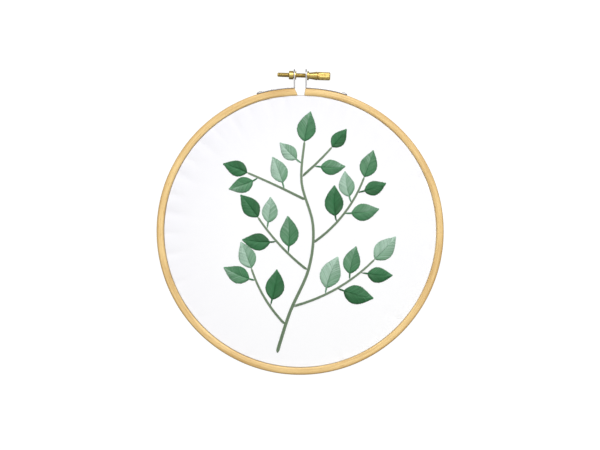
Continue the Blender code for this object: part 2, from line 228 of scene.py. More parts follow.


# wood whose grain follows the bent strip: slow round the ring and quick across it, in long fibres; its
# outer edge gets painted shade
def makeRingGrain():
    group, given, made = newGroup("ringGrain", {
        "Vector": vector, "Centre": vector, "Light": colour, "Dark": colour,
        "Contrast": number, "Edge": colour, "Rim": number}, surface)
    offset, radius = fromCentre(group, given["Vector"], given["Centre"])
    x, y, z = splitVector(group, offset)
    layers = {}
    shade = woods["paleness"]
    for name, slow, quick, detail, weight in woods["layers"]:
        place = joinVector(group, times(group, x, slow), times(group, y, slow), times(group, radius, quick))
        layer = noiseNode(group, place, 1.0, detail, woods["layerRoughness"], times(group, z, quick))
        if name == "flecks":
            layer = mathNode(group, "GREATER_THAN", layer, woods["fleckFrom"])
        layers[name] = layer
        shade = scaled(group, layer, weight, shade)
    shade = times(group, shade, given["Contrast"], clampIt=True)
    # painted shade: darker towards the outer edge, patchy with the bands
    away = mathNode(group, "DIVIDE", mathNode(group, "SUBTRACT", given["Rim"], radius), woods["shadedEdgeWidth"])
    edgeShade = mathNode(group, "SUBTRACT", 1.0, away, clampIt=True)
    edgeShade = times(group, edgeShade, scaled(group, layers["bands"], *woods["shadedEdgePatches"]), clampIt=True)
    wood = mixColour(group, shade, given["Light"], given["Dark"])
    feed(group, made["Color"], mixColour(group, edgeShade, wood, given["Edge"]))
    feed(group, made["Roughness"], scaled(group, shade, *woods["roughness"]))
    feed(group, made["Height"], scaled(group, layers["flecks"], woods["fleckSink"], layers["fibres"]))
    return group


metals = {
    "brass": {"bright": (0.75, 0.565, 0.185, 1), "dull": (0.41, 0.27, 0.075, 1),
              "smooth": 0.24, "rough": 0.4},
    "steel": {"bright": (0.53, 0.52, 0.53, 1), "dull": (0.33, 0.32, 0.32, 1), "smooth": 0.28, "rough": 0.5},
    "stains": {"noise": (420.0, 4.0, 0.6), "gain": 2.2, "lift": -0.7, "share": 0.5},
    "lines": {"scales": (9000.0, 900.0, 900.0), "share": 0.3},
    "bump": 0.2, "lineDepth": 0.02 * mm,
}


# turned or rolled metal, a little stained by handling
def makeWornMetal():
    group, given, made = newGroup("wornMetal", {
        "Vector": vector, "Bright": colour, "Dull": colour, "Smooth": number, "Rough": number}, surface)
    look = metals["stains"]
    stains = noiseNode(group, given["Vector"], *look["noise"])
    stains = times(group, scaled(group, stains, look["gain"], look["lift"], clampIt=True), look["share"])
    lines = noiseNode(group, vectorNode(group, "MULTIPLY", given["Vector"], metals["lines"]["scales"]), 1.0)
    shade = scaled(group, lines, metals["lines"]["share"], stains, clampIt=True)
    feed(group, made["Color"], mixColour(group, shade, given["Bright"], given["Dull"]))
    spread = mathNode(group, "SUBTRACT", given["Rough"], given["Smooth"])
    feed(group, made["Roughness"], scaled(group, shade, spread, given["Smooth"]))
    feed(group, made["Height"], lines)
    return group


# a material whose colour, roughness and relief come from a group
def makeFromGroup(name, group, look, bump, depth, **uniform):
    material, tree, shader = newMaterial(name, **uniform)
    given = {label.capitalize(): value for label, value in look.items()}
    made = useGroup(tree, group, Vector=objectPlace(tree), **given)
    feed(tree, shader.inputs["Base Color"], made["Color"])
    feed(tree, shader.inputs["Roughness"], made["Roughness"])
    addBump(tree, shader, made["Height"], bump, depth)
    return material


ringGrain, wornMetal = makeRingGrain(), makeWornMetal()
outerWood, innerWood = (
    makeFromGroup(f"{name}Wood", ringGrain, woods[name], woods["bump"], woods["grainDepth"], **varnish)
    for name in ("outer", "inner"))
brass, steel = (
    makeFromGroup(name, wornMetal, metals[name], metals["bump"], metals["lineDepth"], Metallic=1.0)
    for name in ("brass", "steel"))

weave = {
    "pitch": 0.42 * mm, "colour": (0.965, 0.965, 0.967, 1), "shade": (0.83, 0.83, 0.845, 1),
    "drift": 5.0, "driftNoise": (90.0, 3.0, 0.6), "crownPower": 0.6, "yarnScale": 900.0,
    "uneven": (0.5, 0.6),  # these pairs are gain and lift
    "hollows": (-0.7, 0.62), "bump": 0.6, "depth": 0.06 * mm,
    "rimShadeColour": (0.845, 0.840, 0.885, 1),  # painted shade by the rim, a cooler white, most at the upper left
    "rimFrom": 45 * mm, "rimTowards": (-0.6, 0.8, 0), "rimLean": (0.45, 0.45),
    "rimStreaks": (0.9, 0.55), "streakNoise": (16.0, 3.0, 0.6),
    "shadowLineColour": (0.40, 0.37, 0.35, 1),  # a painted shadow line, grey, where the rings grip, most by the split
    "shadowLineWidth": 0.5 * mm, "shadowLineLeft": (-0.8, 0.85), "shadowLineTop": (200.0, -198.0),
    "topWeight": 1.6,
}


# how much painted shade the cloth gets, from the middle to the rim in soft streaks, and the painted shadow
# line at its gripped edge
def rimShade(tree, place):
    edge = hoop["clothRadius"]
    offset, radius = fromCentre(tree, place, hoop["centre"])
    outward = mathNode(tree, "SUBTRACT", radius, weave["rimFrom"])
    outward = mathNode(tree, "DIVIDE", outward, edge - weave["rimFrom"], clampIt=True)
    towards = mathNode(tree, "DIVIDE", vectorNode(tree, "DOT_PRODUCT", offset, weave["rimTowards"]), edge)
    towards = scaled(tree, towards, *weave["rimLean"], clampIt=True)
    across = vectorNode(tree, "NORMALIZE", offset)
    streaks = scaled(tree, noiseNode(tree, across, *weave["streakNoise"]), *weave["rimStreaks"])
    rimShadeShare = times(tree, times(tree, outward, towards), streaks, clampIt=True)
    # a painted shadow line at the cloth's edge, strongest at the left and by the split
    inward = mathNode(tree, "DIVIDE", mathNode(tree, "SUBTRACT", edge, radius), weave["shadowLineWidth"])
    line = mathNode(tree, "SUBTRACT", 1.0, inward, clampIt=True)
    x, y, z = splitVector(tree, across)
    leftward = scaled(tree, x, *weave["shadowLineLeft"], clampIt=True)
    bySplit = scaled(tree, y, *weave["shadowLineTop"], clampIt=True)
    shadowLineStrength = scaled(tree, bySplit, weave["topWeight"], leftward)
    return rimShadeShare, times(tree, line, shadowLineStrength, clampIt=True)


# plain weave: warp and weft show in turn, with thicker and thinner yarns and painted shade in the hollows
# between them
def makeWeave():
    material, tree, shader = newMaterial(
        "whiteCotton", Roughness=0.88, Sheen_Weight=0.12, Sheen_Roughness=0.5)
    place = objectPlace(tree)
    drift = times(tree, noiseNode(tree, place, *weave["driftNoise"]), weave["drift"])
    x, y, z = splitVector(tree, place)
    turns = pi / weave["pitch"]
    warp, weft = (mathNode(tree, "SINE", scaled(tree, side, turns, drift)) for side in (x, y))
    crowns = mathNode(tree, "ABSOLUTE", times(tree, warp, weft))
    crowns = mathNode(tree, "POWER", crowns, weave["crownPower"])
    height = times(tree, crowns, scaled(tree, noiseNode(tree, place, weave["yarnScale"]), *weave["uneven"]))
    # the hollows between the yarns' crowns get painted shade
    shade = scaled(tree, height, *weave["hollows"], clampIt=True)
    white = mixColour(tree, shade, weave["colour"], weave["shade"])
    rimShadeShare, line = rimShade(tree, place)
    # painted shade on the cloth towards the rim
    white = mixColour(tree, rimShadeShare, white, weave["rimShadeColour"])
    # the painted shadow line at the cloth's edge
    feed(tree, shader.inputs["Base Color"], mixColour(tree, line, white, weave["shadowLineColour"]))
    addBump(tree, shader, height, weave["bump"], weave["depth"])
    return material


whiteCotton = makeWeave()

# tones of the stranded cotton, from the darkest green to the palest
threads = {
    "leaf": [(0.0, (0.006, 0.092, 0.019, 1)), (0.3, (0.030, 0.185, 0.062, 1)),
             (0.6, (0.120, 0.305, 0.160, 1)), (1.0, (0.50, 0.69, 0.57, 1))],
    "stem": [(0.0, (0.10, 0.17, 0.085, 1)), (1.0, (0.27, 0.36, 0.24, 1))],
    "hollowShade": (0.004, 0.028, 0.010, 1), "hollowShare": 0.3, "leafTwist": 0.8, "stemTwist": 1.1,
    "slant": 0.45, "hairNoise": (12.0, 2.0, 0.6), "hairTone": 0.1, "hairHeight": 0.5,
    "bump": 0.5, "twistDepth": 0.05 * mm,
}


# the slant of a twisted thread; Strand holds tone, millimetres along and place across
def makeThreadTwist():
    group, given, made = newGroup(
        "threadTwist", {"Strand": vector, "Pitch": number},
        {"Tone": number, "Shade": number, "Height": number})
    tone, along, across = splitVector(group, given["Strand"])
    turn = scaled(group, across, threads["slant"], mathNode(group, "DIVIDE", along, given["Pitch"]))
    ply = mathNode(group, "ABSOLUTE", mathNode(group, "SINE", times(group, turn, pi)))
    hairs = noiseNode(group, given["Strand"], *threads["hairNoise"])
    uneven = mathNode(group, "SUBTRACT", hairs, 0.5)
    feed(group, made["Tone"], scaled(group, uneven, threads["hairTone"], tone))
    feed(group, made["Height"], scaled(group, hairs, threads["hairHeight"], ply))
    # painted shade in the hollows between the plies
    hollowShade = threads["hollowShare"]
    feed(group, made["Shade"], scaled(group, ply, -hollowShade, hollowShade, clampIt=True))
    return group


threadTwist = makeThreadTwist()


def makeThread(name, tones, pitch):
    material, tree, shader = newMaterial(name, Roughness=0.5, Sheen_Weight=0.08, Sheen_Roughness=0.4)
    strand = addNode(tree, "Attribute", attribute_name="strand").outputs["Vector"]
    twist = useGroup(tree, threadTwist, Strand=strand, Pitch=pitch)
    ramp = addNode(tree, "ValToRGB", twist["Tone"])
    stops = ramp.color_ramp.elements
    while len(stops) < len(tones):
        stops.new(0.5)
    for stop, (place, tone) in zip(stops, tones):
        stop.position = place
        stop.color = tone
    # the thread's colour with painted shade between its plies
    cotton = mixColour(tree, twist["Shade"], ramp.outputs[0], threads["hollowShade"])
    feed(tree, shader.inputs["Base Color"], cotton)
    addBump(tree, shader, twist["Height"], threads["bump"], threads["twistDepth"])
    return material


leafThread, stemThread = (makeThread(f"{name}Thread", threads[name], threads[f"{name}Twist"])
                          for name in ("leaf", "stem"))


# meshes are gathered as rows of points, each row a closed loop, then made in one go
def newStore():
    return {"points": [], "faces": [], "marks": []}


def addRows(store, rows, closed=False, marks=None):
    start = len(store["points"])
    across = len(rows[0])
    for row in rows:
        store["points"].extend(row)
    store["marks"].extend(marks or [(0, 0, 0)] * (across * len(rows)))
    faces = store["faces"]
    for i in range(len(rows) if closed else len(rows) - 1):
        here = start + i * across
        there = start + (i + 1) % len(rows) * across
        for k in range(across):
            n = (k + 1) % across
            faces.append((here + k, here + n, there + n, there + k))
    if not closed:
        last = start + across * (len(rows) - 1)
        faces.append(tuple(range(start + across - 1, start - 1, -1)))
        faces.append(tuple(range(last, last + across)))


def addObject(name, data):
    made = bpy.data.objects.new(name, data)
    scene.collection.objects.link(made)
    return made


def buildPiece(name, store, material, slot, body="hoop", instead=None, sharp=None, closed=True):
    mesh = bpy.data.meshes.new(name)
    mesh.from_pydata(store["points"], [], store["faces"])
    mesh.materials.append(material)
    if any(mark != (0, 0, 0) for mark in store["marks"]):
        strand = mesh.attributes.new("strand", "FLOAT_VECTOR", "POINT")
        strand.data.foreach_set("vector", [value for mark in store["marks"] for value in mark])
    if closed:
        shape = bmesh.new()
        shape.from_mesh(mesh)
        bmesh.ops.recalc_face_normals(shape, faces=shape.faces)
        shape.to_mesh(mesh)
        shape.free()
    mesh.shade_smooth()
    if sharp:
        mesh.set_sharp_from_angle(angle=radians(sharp))
    piece = addObject(name, mesh)
    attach(piece, body)
    if instead:
        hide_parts(instead)
    return piece


def buildRows(name, rows, material, slot, ringed=False, **rest):
    store = newStore()
    addRows(store, rows, closed=ringed)
    return buildPiece(name, store, material, slot, **rest)


def arcPoints(radius, start, end, count, centre=(0, 0)):
    angles = [mix(start, end, share) for share in evenly(count)]
    return [(centre[0] + radius * cos(a), centre[1] + radius * sin(a)) for a in angles]


def roundedSection(inner, outer, bottom, top, corner, count=4):
    near, far, low, high = inner + corner, outer - corner, bottom + corner, top - corner
    points = []
    for turn, centre in enumerate(((far, high), (near, high), (near, low), (far, low))):
        points += arcPoints(corner, turn * pi / 2, (turn + 1) * pi / 2, count, centre)
    return points


def turnBetween(angle, other):
    return (angle - other + pi) % tau - pi


def onHoop(radius, angle, z):
    return hoop["centre"] + Vector((radius * cos(angle), radius * sin(angle), z))


# the outer ring: one bent strip, split at the top
outerRing = lengths(
    width=5.1,
    corner=1.35,
    endRound=0.4,
    drawnIn=0.5,  # the screw pulls the ring a little flatter by the split
    wander=0.06)
outerRing |= {
    "steps": 420, "waves": 2,
    "leftEnd": (-3.7 * mm, -1.8 * mm),  # x of this end at the outer and the inner face
    "rightEnd": (3.6 * mm, 2.9 * mm), "flatBetween": (radians(2), radians(20)),
}


def drawnIn(angle):
    away = abs(turnBetween(angle, pi / 2))
    return outerRing["drawnIn"] * (1 - smoothStep(*outerRing["flatBetween"], away))


def ringEndAngle(end, radius):
    share = (hoop["radius"] - radius) / outerRing["width"]
    return acos(clamp(mix(end[0], end[1], share) / radius, -1, 1))


def pullIn(value, middle, inset):
    return value - copysign(min(inset, abs(value - middle)), value - middle)


def makeOuterRing():
    step("outer ring")
    inner = hoop["radius"] - outerRing["width"]
    section = roundedSection(inner, hoop["radius"], 0, hoop["height"], outerRing["corner"], 5)
    middleRadius, middleZ = (inner + hoop["radius"]) / 2, hoop["height"] / 2
    rounding = outerRing["endRound"]
    length = tau * hoop["radius"]
    shares = [0, 0.3 * rounding / length, rounding / length]
    shares += evenly(outerRing["steps"])[1:-1]
    shares += [1 - share for share in reversed(shares[:3])]
    rows = []
    for share in shares:
        left = max(0, rounding - min(share, 1 - share) * length)
        inset = rounding - sqrt(rounding ** 2 - left ** 2)
        row = []
        for radius, z in section:
            start = ringEndAngle(outerRing["leftEnd"], radius)
            end = ringEndAngle(outerRing["rightEnd"], radius)
            angle = mix(start, end + tau, share)
            wander = noise.noise(Vector((cos(angle), sin(angle), 0.3)) * outerRing["waves"])
            pulled = pullIn(radius, middleRadius, inset) - drawnIn(angle)
            if radius > middleRadius:
                pulled -= outerRing["wander"] * abs(wander)
            row.append(onHoop(pulled, angle, pullIn(z, middleZ, inset)))
        rows.append(row)
    buildRows("outerRing", rows, outerWood, "wood", instead="outer_ring", sharp=50)


# the cloth, and the inner ring that carries it
sheet = lengths(
    thickness=0.4,
    shoulder=0.6,
    flatRadius=103,  # the disc before it was stretched
    rimFrom=68,
    ripple=0.05,
    rippleReach=9,
    sinkDown=3,
    trim=0.5)
sheet |= {"segments": 480, "middleRows": 14, "rimRows": 28, "wallRows": 5, "ripples": 26, "trimWaves": 30}

innerRing = lengths(inner=88.8, corner=0.7, clear=0.05, drop=0.4) | {"steps": 360}

# pull creases at the ring: place in degrees from +X, then length, depth and width in millimetres
creases = [
    (78, 11, 0.25, 2.4), (86, 18, 0.30, 2.1), (97, 14, 0.34, 2.2), (104, 21, 0.38, 2.7),
    (113, 12, 0.27, 2.0), (121, 24, 0.42, 3.0), (130, 15, 0.34, 2.2), (138, 26, 0.42, 3.2),
    (147, 16, 0.32, 2.1), (155, 22, 0.42, 2.8), (164, 15, 0.34, 2.2), (172, 25, 0.42, 3.0),
    (181, 18, 0.34, 2.4), (190, 21, 0.38, 2.7), (203, 12, 0.27, 2.1), (221, 15, 0.23, 2.4),
    (248, 10, 0.19, 2.1), (287, 11, 0.19, 2.2), (318, 14, 0.23, 2.4), (352, 10, 0.19, 2.2),
    (24, 12, 0.23, 2.2), (51, 10, 0.21, 2.1),
]


def creaseDepth(radius, angle):
    edge = hoop["clothRadius"]
    depth = 0.0
    for place, length, deepest, width in creases:
        across = turnBetween(angle, radians(place)) * radius / (width * mm)
        if abs(across) < 3:
            reach = smoothStep(edge - length * mm, edge, radius)
            depth += deepest * mm * reach * exp(-across * across)
    ripple = noise.noise(Vector((cos(angle), sin(angle), 0.0)) * sheet["ripples"])
    return depth + sheet["ripple"] * ripple * smoothStep(edge - sheet["rippleReach"], edge, radius)


def makeInnerRing():
    step("inner ring")
    outer = hoop["clothRadius"] - sheet["thickness"] - innerRing["clear"]
    top = hoop["clothFace"] - sheet["thickness"] - innerRing["drop"]
    section = roundedSection(innerRing["inner"], outer, 0, top, innerRing["corner"])
    angles = [tau * i / innerRing["steps"] for i in range(innerRing["steps"])]
    rows = [[onHoop(radius, angle, z) for radius, z in section] for angle in angles]
    buildRows("innerRing", rows, innerWood, "wood", ringed=True, instead="inner_ring", sharp=50)


def makeCloth():
    step("cloth")
    edge, face, shoulder = hoop["clothRadius"], hoop["clothFace"], sheet["shoulder"]
    flat, rim = edge - shoulder, sheet["rimFrom"]
    radii = [rim * share for share in evenly(sheet["middleRows"])[1:]]
    radii += [mix(rim, flat, share) for share in evenly(sheet["rimRows"])[1:]]
    profile = [(radius, face) for radius in radii]
    profile += arcPoints(shoulder, pi / 2, 0, 5, (flat, face - shoulder))[1:]
    wallFrom, wallRows = len(profile), sheet["wallRows"]
    profile += [(edge, mix(face - shoulder, hoop["clothEdge"], share)) for share in evenly(wallRows)[1:]]
    count = sheet["segments"]
    points = [onHoop(0, 0, face)]
    for index, (radius, z) in enumerate(profile):
        lower = max(0, index - wallFrom + 1) / wallRows
        for i in range(count):
            angle = tau * i / count
            sink = 0
            if radius > rim:
                sink = creaseDepth(radius, angle) * smoothStep(face - sheet["sinkDown"], face, z)
            wander = 0.5 + noise.noise(Vector((cos(angle), sin(angle), 0.7)) * sheet["trimWaves"])
            points.append(onHoop(radius, angle, z - sink + sheet["trim"] * wander * lower))
    faces = [(0, 1 + i, 1 + (i + 1) % count) for i in range(count)]
    for row in range(len(profile) - 1):
        here = 1 + row * count
        there = here + count
        for i in range(count):
            n = (i + 1) % count
            faces.append((here + i, there + i, there + n, here + n))
    store = {"points": points, "faces": faces, "marks": []}
    cloth = buildPiece("clothSheet", store, whiteCotton, "cloth", instead="cloth", closed=False)
    solid = cloth.modifiers.new("thickness", "SOLIDIFY")
    solid.thickness = sheet["thickness"]
    solid.offset = -1


# sheet-metal lugs, each bent from one strip; x and lengths from the middle of the split
lugs = lengths(
    metal=0.9,
    halfWidth=4.3,
    corner=0.16,
    bend=0.65,  # of the strip's middle
    seat=0.1,  # over the ring's outer face
    strapEnd=1.3,  # rounding of the strap's far end
    rivetFromEnd=2.4)
lugs |= {
    "left": lengths(x=4.0, strap=30.6, hole=2.45) | {"sign": -1},
    "right": lengths(x=4.2, strap=33.1, hole=1.8) | {"sign": 1},
}

# lengths run along the axis from the hoop's middle
screw = lengths(
    y=108.8,  # from the hoop's centre
    rod=1.57, tip=-15.9, runIn=0.8, tipTaper=0.35,
    pitch=0.5, threadDepth=0.15,
    collar=3.15, collarFrom=4.95, collarTo=6.05,
    neck=2.2,
    flare=3.0,  # the neck's wide end stands a little proud of the knob
    knob=2.85, knobFrom=11.95, knobTo=21.05, grooveDepth=0.09,
    chamfer=0.6, bevel=0.15, fillet=0.3, relief=0.1, dimple=0.4)
screw |= {
    "tilt": radians(-1.9), "neckFlare": 1.15, "grooves": 38, "grooveFade": (-0.4 * mm, 0.3 * mm),
    "threadSteps": 8,
}
screwAxis = Vector((cos(screw["tilt"]), sin(screw["tilt"]), 0))
screwMiddle = hoop["centre"] + Vector((0, screw["y"], hoop["height"] / 2))

nut = lengths(
    bore=1.82, flange=3.1, neck=2.3, body=3.0, bevel=0.18,
    flangeFrom=-2.75, neckFrom=-3.25, bodyFrom=-4.75, bodyTo=-7.85)


# x, y and half width of the strip, from the strap's far end to the tab's round top
def lugSpine(side):
    middle = hoop["radius"] + lugs["seat"] + lugs["metal"] / 2
    turn, half = lugs["bend"], lugs["halfWidth"]
    near = side["x"]
    centreX = near + turn
    centreY = sqrt((middle - drawnIn(atan2(middle, centreX)) + turn) ** 2 - centreX ** 2)
    bendAngle = atan2(centreY, centreX)
    endAngle = pi / 2 - side["strap"] / hoop["radius"]
    spine = []
    for share in (0, 0.005, 0.012, 0.022, 0.04, *evenly(24)[2:]):
        angle = mix(endAngle, bendAngle, share)
        left = max(0, lugs["strapEnd"] - (angle - endAngle) * middle)
        narrow = lugs["strapEnd"] - sqrt(max(0, lugs["strapEnd"] ** 2 - left ** 2))
        radius = middle - drawnIn(angle)
        spine.append((radius * cos(angle), radius * sin(angle), half - narrow))
    bend = arcPoints(turn, bendAngle + pi, pi, 6, (centreX, centreY))
    spine += [(x, y, half) for x, y in bend[1:]]
    spine += [(near, mix(centreY, screw["y"], share), half) for share in evenly(6)[1:]]
    for share in evenly(14)[1:]:
        angle = pi / 2 * share
        spine.append((near, screw["y"] + half * sin(angle), max(half * cos(angle), 0.25 * mm)))
    return spine


def makeLug(name, side, instead):
    step(name)
    spine = lugSpine(side)
    places = [hoop["centre"] + Vector((side["sign"] * x, y, hoop["height"] / 2)) for x, y, half in spine]
    rows = []
    for i, place in enumerate(places):
        half = spine[i][2]
        forward = (places[min(i + 1, len(places) - 1)] - places[max(i - 1, 0)]).normalized()
        across = forward.cross(up)
        corner = min(lugs["corner"], half * 0.8)
        section = roundedSection(-lugs["metal"] / 2, lugs["metal"] / 2, -half, half, corner, 2)
        rows.append([place + across * a + up * b for a, b in section])
    lug = buildRows(name, rows, steel, "steel", instead=instead, sharp=40)
    cutHole(lug, screwMiddle + screwAxis * side["sign"] * side["x"], side["hole"])


def cutHole(piece, place, radius):
    mesh = bpy.data.meshes.new("drill")
    shape = bmesh.new()
    bmesh.ops.create_cone(shape, cap_ends=True, segments=40, radius1=radius, radius2=radius, depth=6 * mm)
    shape.to_mesh(mesh)
    shape.free()
    drill = addObject("drill", mesh)
    drill.rotation_euler = screwAxis.to_track_quat("Z", "Y").to_euler()
    drill.location = place
    boolean = piece.modifiers.new("hole", "BOOLEAN")
    boolean.operation = "DIFFERENCE"
    boolean.object = drill
    bpy.context.view_layer.update()
    evaluated = piece.evaluated_get(bpy.context.evaluated_depsgraph_get())
    drilled = bpy.data.meshes.new_from_object(evaluated)
    piece.modifiers.clear()
    piece.data = drilled
    bpy.data.objects.remove(drill, do_unlink=True)


# rows of a turned piece round an axis; shape can change the radius by place and angle
def turnRows(profile, start, axis, around, shape=None):
    side = axis.cross(up).normalized()
    over = axis.cross(side)
    rows = []
    for radius, place in profile:
        row = []
        for k in range(around):
            angle = tau * k / around
            r = shape(radius, place, angle) if shape else radius
            row.append(start + axis * place + side * (r * cos(angle)) + over * (r * sin(angle)))
        rows.append(row)
    return rows


# heights over the strap
rivet = lengths(shank=0.6, shankFrom=-3.6, under=-0.3, edge=0.1, head=2.0, dome=0.6)
rivet["turns"] = (0.15, 0.4, 0.7, 1.0, 1.25, 1.45, 1.55)


def makeRivet(name, side, instead):
    angle = pi / 2 - (side["strap"] - lugs["rivetFromEnd"]) / hoop["radius"]
    out = Vector((side["sign"] * cos(angle), sin(angle), 0))
    seat = hoop["radius"] + 2 * lugs["seat"] + lugs["metal"] - drawnIn(angle)
    start = hoop["centre"] + up * hoop["height"] / 2 + out * seat
    head, under, edge = rivet["head"], rivet["under"], rivet["edge"]
    profile = [(rivet["shank"], rivet["shankFrom"]), (rivet["shank"], under), (head - edge, under),
               (head, under + edge)]
    profile += [(head * cos(a), rivet["dome"] * sin(a)) for a in rivet["turns"]]
    buildRows(name, turnRows(profile, start, out, 28), steel, "steel", instead=instead, sharp=45)


def makeNut():
    step("nut")
    bore, flange, neck, body, bevel, flangeFrom, neckFrom, bodyFrom, bodyTo = nut.values()
    profile = [
        (bore, flangeFrom), (flange - bevel, flangeFrom), (flange, flangeFrom - bevel),
        (flange, neckFrom), (neck, neckFrom), (neck, bodyFrom),
        (body - bevel, bodyFrom), (body, bodyFrom - bevel),
        (body, bodyTo + 2 * bevel), (body - 2 * bevel, bodyTo),
        (bore + bevel, bodyTo), (bore, bodyTo + bevel),
    ]
    rows = turnRows(profile, screwMiddle, screwAxis, 48)
    buildRows("clinchNut", rows, brass, "brass", ringed=True, instead="nut", sharp=30)


def makeThumbScrew():
    step("thumb screw")
    rod, tip, neck, flare = screw["rod"], screw["tip"], screw["neck"], screw["flare"]
    collar, collarFrom, collarTo = screw["collar"], screw["collarFrom"], screw["collarTo"]
    knob, knobFrom, knobTo = screw["knob"], screw["knobFrom"], screw["knobTo"]
    chamfer, bevel, fillet, relief = screw["chamfer"], screw["bevel"], screw["fillet"], screw["relief"]
    count = int((collarFrom - tip) / screw["pitch"] * screw["threadSteps"])
    profile = [(0.5 * rod, tip), (rod - 0.5 * mm, tip)]
    profile += [(rod, mix(tip + relief, collarFrom, share)) for share in evenly(count)]
    profile += [(collar - bevel, collarFrom), (collar, collarFrom + bevel), (collar, collarTo - bevel),
                (collar - bevel, collarTo), (neck + fillet, collarTo)]
    for share in evenly(14):
        profile.append((mix(neck, flare, share ** screw["neckFlare"]),
                        mix(collarTo + fillet, knobFrom - relief, share)))
    profile += [(flare - relief, knobFrom), (knob - fillet, knobFrom + relief),
                (knob - relief, knobFrom + chamfer / 2)]
    profile += [(knob, mix(knobFrom + chamfer, knobTo - chamfer, share)) for share in evenly(8)]
    profile += [(knob - chamfer, knobTo), (knob - chamfer - fillet, knobTo),
                (screw["dimple"], knobTo - relief)]

    def shape(radius, place, angle):
        if radius == rod:
            turn = place / screw["pitch"] + angle / tau
            valley = 0.5 - 0.5 * cos(tau * turn)
            runIn = smoothStep(tip, tip + screw["runIn"], place)
            return rod - screw["threadDepth"] * valley ** 0.8 - (1 - runIn) * screw["tipTaper"]
        if radius == knob:
            inside = min(place - knobFrom - chamfer, knobTo - chamfer - place)
            ridge = abs(sin(angle * screw["grooves"] / 2))
            return radius - screw["grooveDepth"] * (1 - ridge) * smoothStep(*screw["grooveFade"], inside)
        return radius

    rows = turnRows(profile, screwMiddle, screwAxis, 4 * screw["grooves"], shape)
    buildRows("thumbScrew", rows, brass, "brass", body="screw", instead="thumb_screw", sharp=38)


makeOuterRing()
makeInnerRing()
makeCloth()
for side in ("left", "right"):
    makeLug(f"{side}Lug", lugs[side], f"{side}_lug")
for side in ("left", "right"):
    makeRivet(f"{side}Rivet", lugs[side], f"{side}_rivet")
makeNut()
makeThumbScrew()

# the sprig, on the routes of the model's thread pads; lengths in millimetres from the hoop's centre
sprig = {
    "stem": [(-16, -84), (-7, -56), (6, -26), (9, 4), (1, 34), (3, 62)], "stepsPerSpan": 6,
    "stemHalf": (1.1, 0.7), "twigHalf": (0.8, 0.6), "stalkHalf": 0.5, "stalk": 3.0, "gap": 0.3,
    "tucked": 0.6,  # a stalk's first stitch starts inside the stem by this share
    "leafRatio": 0.62, "leafTaper": 0.8, "leafRoundness": 0.95, "leafSpread": 52, "leafBend": 16,
    "leafShrink": 0.08, "firstLeafAt": 0.34, "lastLeafAt": 0.80, "tipLeafSize": 0.92,
    "tipLeafBend": 6, "edgeSteps": 160, "stalkRun": 1.2,
    "stemTones": (0.35, 0.75), "underTones": (0.3, 0.6),
}
# where on the stem, turn from it, length, bend, leaves below the tip's, their length, and tones
twigs = [
    (0.13, 62, 44, -26, 2, 21, "dmp"),
    (0.22, -52, 64, 30, 4, 23, "pdmdp"),
    (0.40, 70, 49, -18, 3, 21, "mdpd"),
    (0.53, -50, 56, 34, 4, 21, "dmpdm"),
    (0.73, 44, 42, 4, 2, 19, "pmd"),
    (0.84, -52, 27, 8, 1, 17, "md"),
]
topLeaf = {"length": 21, "bend": -10, "tone": "m"}
sideLeaf = {"share": 0.90, "turn": 56, "length": 16, "bend": -10, "tone": "p"}

leafStitch = {
    "spacing": 0.56,  # along the leaf's edge
    "radius": 0.31, "uneven": 0.08,
    "slant": 42,  # degrees from the midrib
    "rootShare": 0.15,
    "overlap": 0.35,  # past the midrib
    "reach": (-0.05, 0.22),  # past the edge
    "bow": 0.035, "loose": 0.03,
    "leastLift": 0.45,  # narrow parts of a leaf rise less
    "flatness": 5.0,
    "lifts": (-0.06, 0.34, 0.50, 0.47, 0.34, 0.17, -0.10), "tipFrom": 0.72,
    "tones": {"d": (0.02, 0.42), "m": (0.26, 0.72), "p": (0.60, 1.0)},
    "toneRun": (0.15, 0.7, 0.18),  # at the stalk, towards the tip, and on one side of the leaf as painted light
    "toneNoise": 0.045,
    "slots": {"d": "thread_dark", "m": "thread_mid", "p": "thread_pale"},
}
# the pad's tone darkens it as painted shade under the strands
leafPad = {"share": 0.97, "crown": 0.32, "sink": 0.05, "tone": 0.6}
stemStitch = {
    "length": 3.3, "lengths": (0.92, 1.08), "advance": 1.55, "slant": 0.14, "lift": 0.28,
    "sink": 0.15, "thickness": 1.06, "radii": (0.95, 1.05), "uneven": 0.12, "toneSpread": 0.1,
    "run": 0.45,
    "gather": 1.8,  # the rows draw together over this length at each end
}
backStitch = {"spacing": 0.5, "radius": 0.2, "hang": 0.16, "loose": 0.05, "slip": 0.02, "lean": 0.25,
              "leanSpread": 0.03, "reaches": (0.94, 1.02), "overlap": 0.3, "under": 0.42}
carried = {"hang": 0.34, "bow": 0.06, "longest": 34}
rng = random.Random(41)
sprigCentre = hoop["centre"] / mm
faceTop = hoop["clothFace"] / mm
faceUnder = faceTop - sheet["thickness"] / mm


def smoothRoute(points, steps):
    points = [Vector(p) for p in points]
    padded = [points[0], *points, points[-1]]
    route = []
    for a, b, c, d in zip(padded, padded[1:], padded[2:], padded[3:]):
        for t in evenly(steps)[:-1]:
            route.append(0.5 * (2 * b + (c - a) * t + (2 * a - 5 * b + 4 * c - d) * t ** 2
                                + (3 * b - a - 3 * c + d) * t ** 3))
    route.append(points[-1])
    return route


def onward(point, heading, distance):
    angle = radians(heading)
    return point + distance * Vector((cos(angle), sin(angle)))


def sideways(heading):
    angle = radians(heading)
    return Vector((-sin(angle), cos(angle)))


def bentRoute(start, heading, length, bend, steps=12):
    route = [Vector(start)]
    for i in range(steps):
        route.append(onward(route[-1], heading + bend * (i + 0.5) / steps, length / steps))
    return route


def routeLength(route):
    return sum((b - a).length for a, b in zip(route, route[1:]))


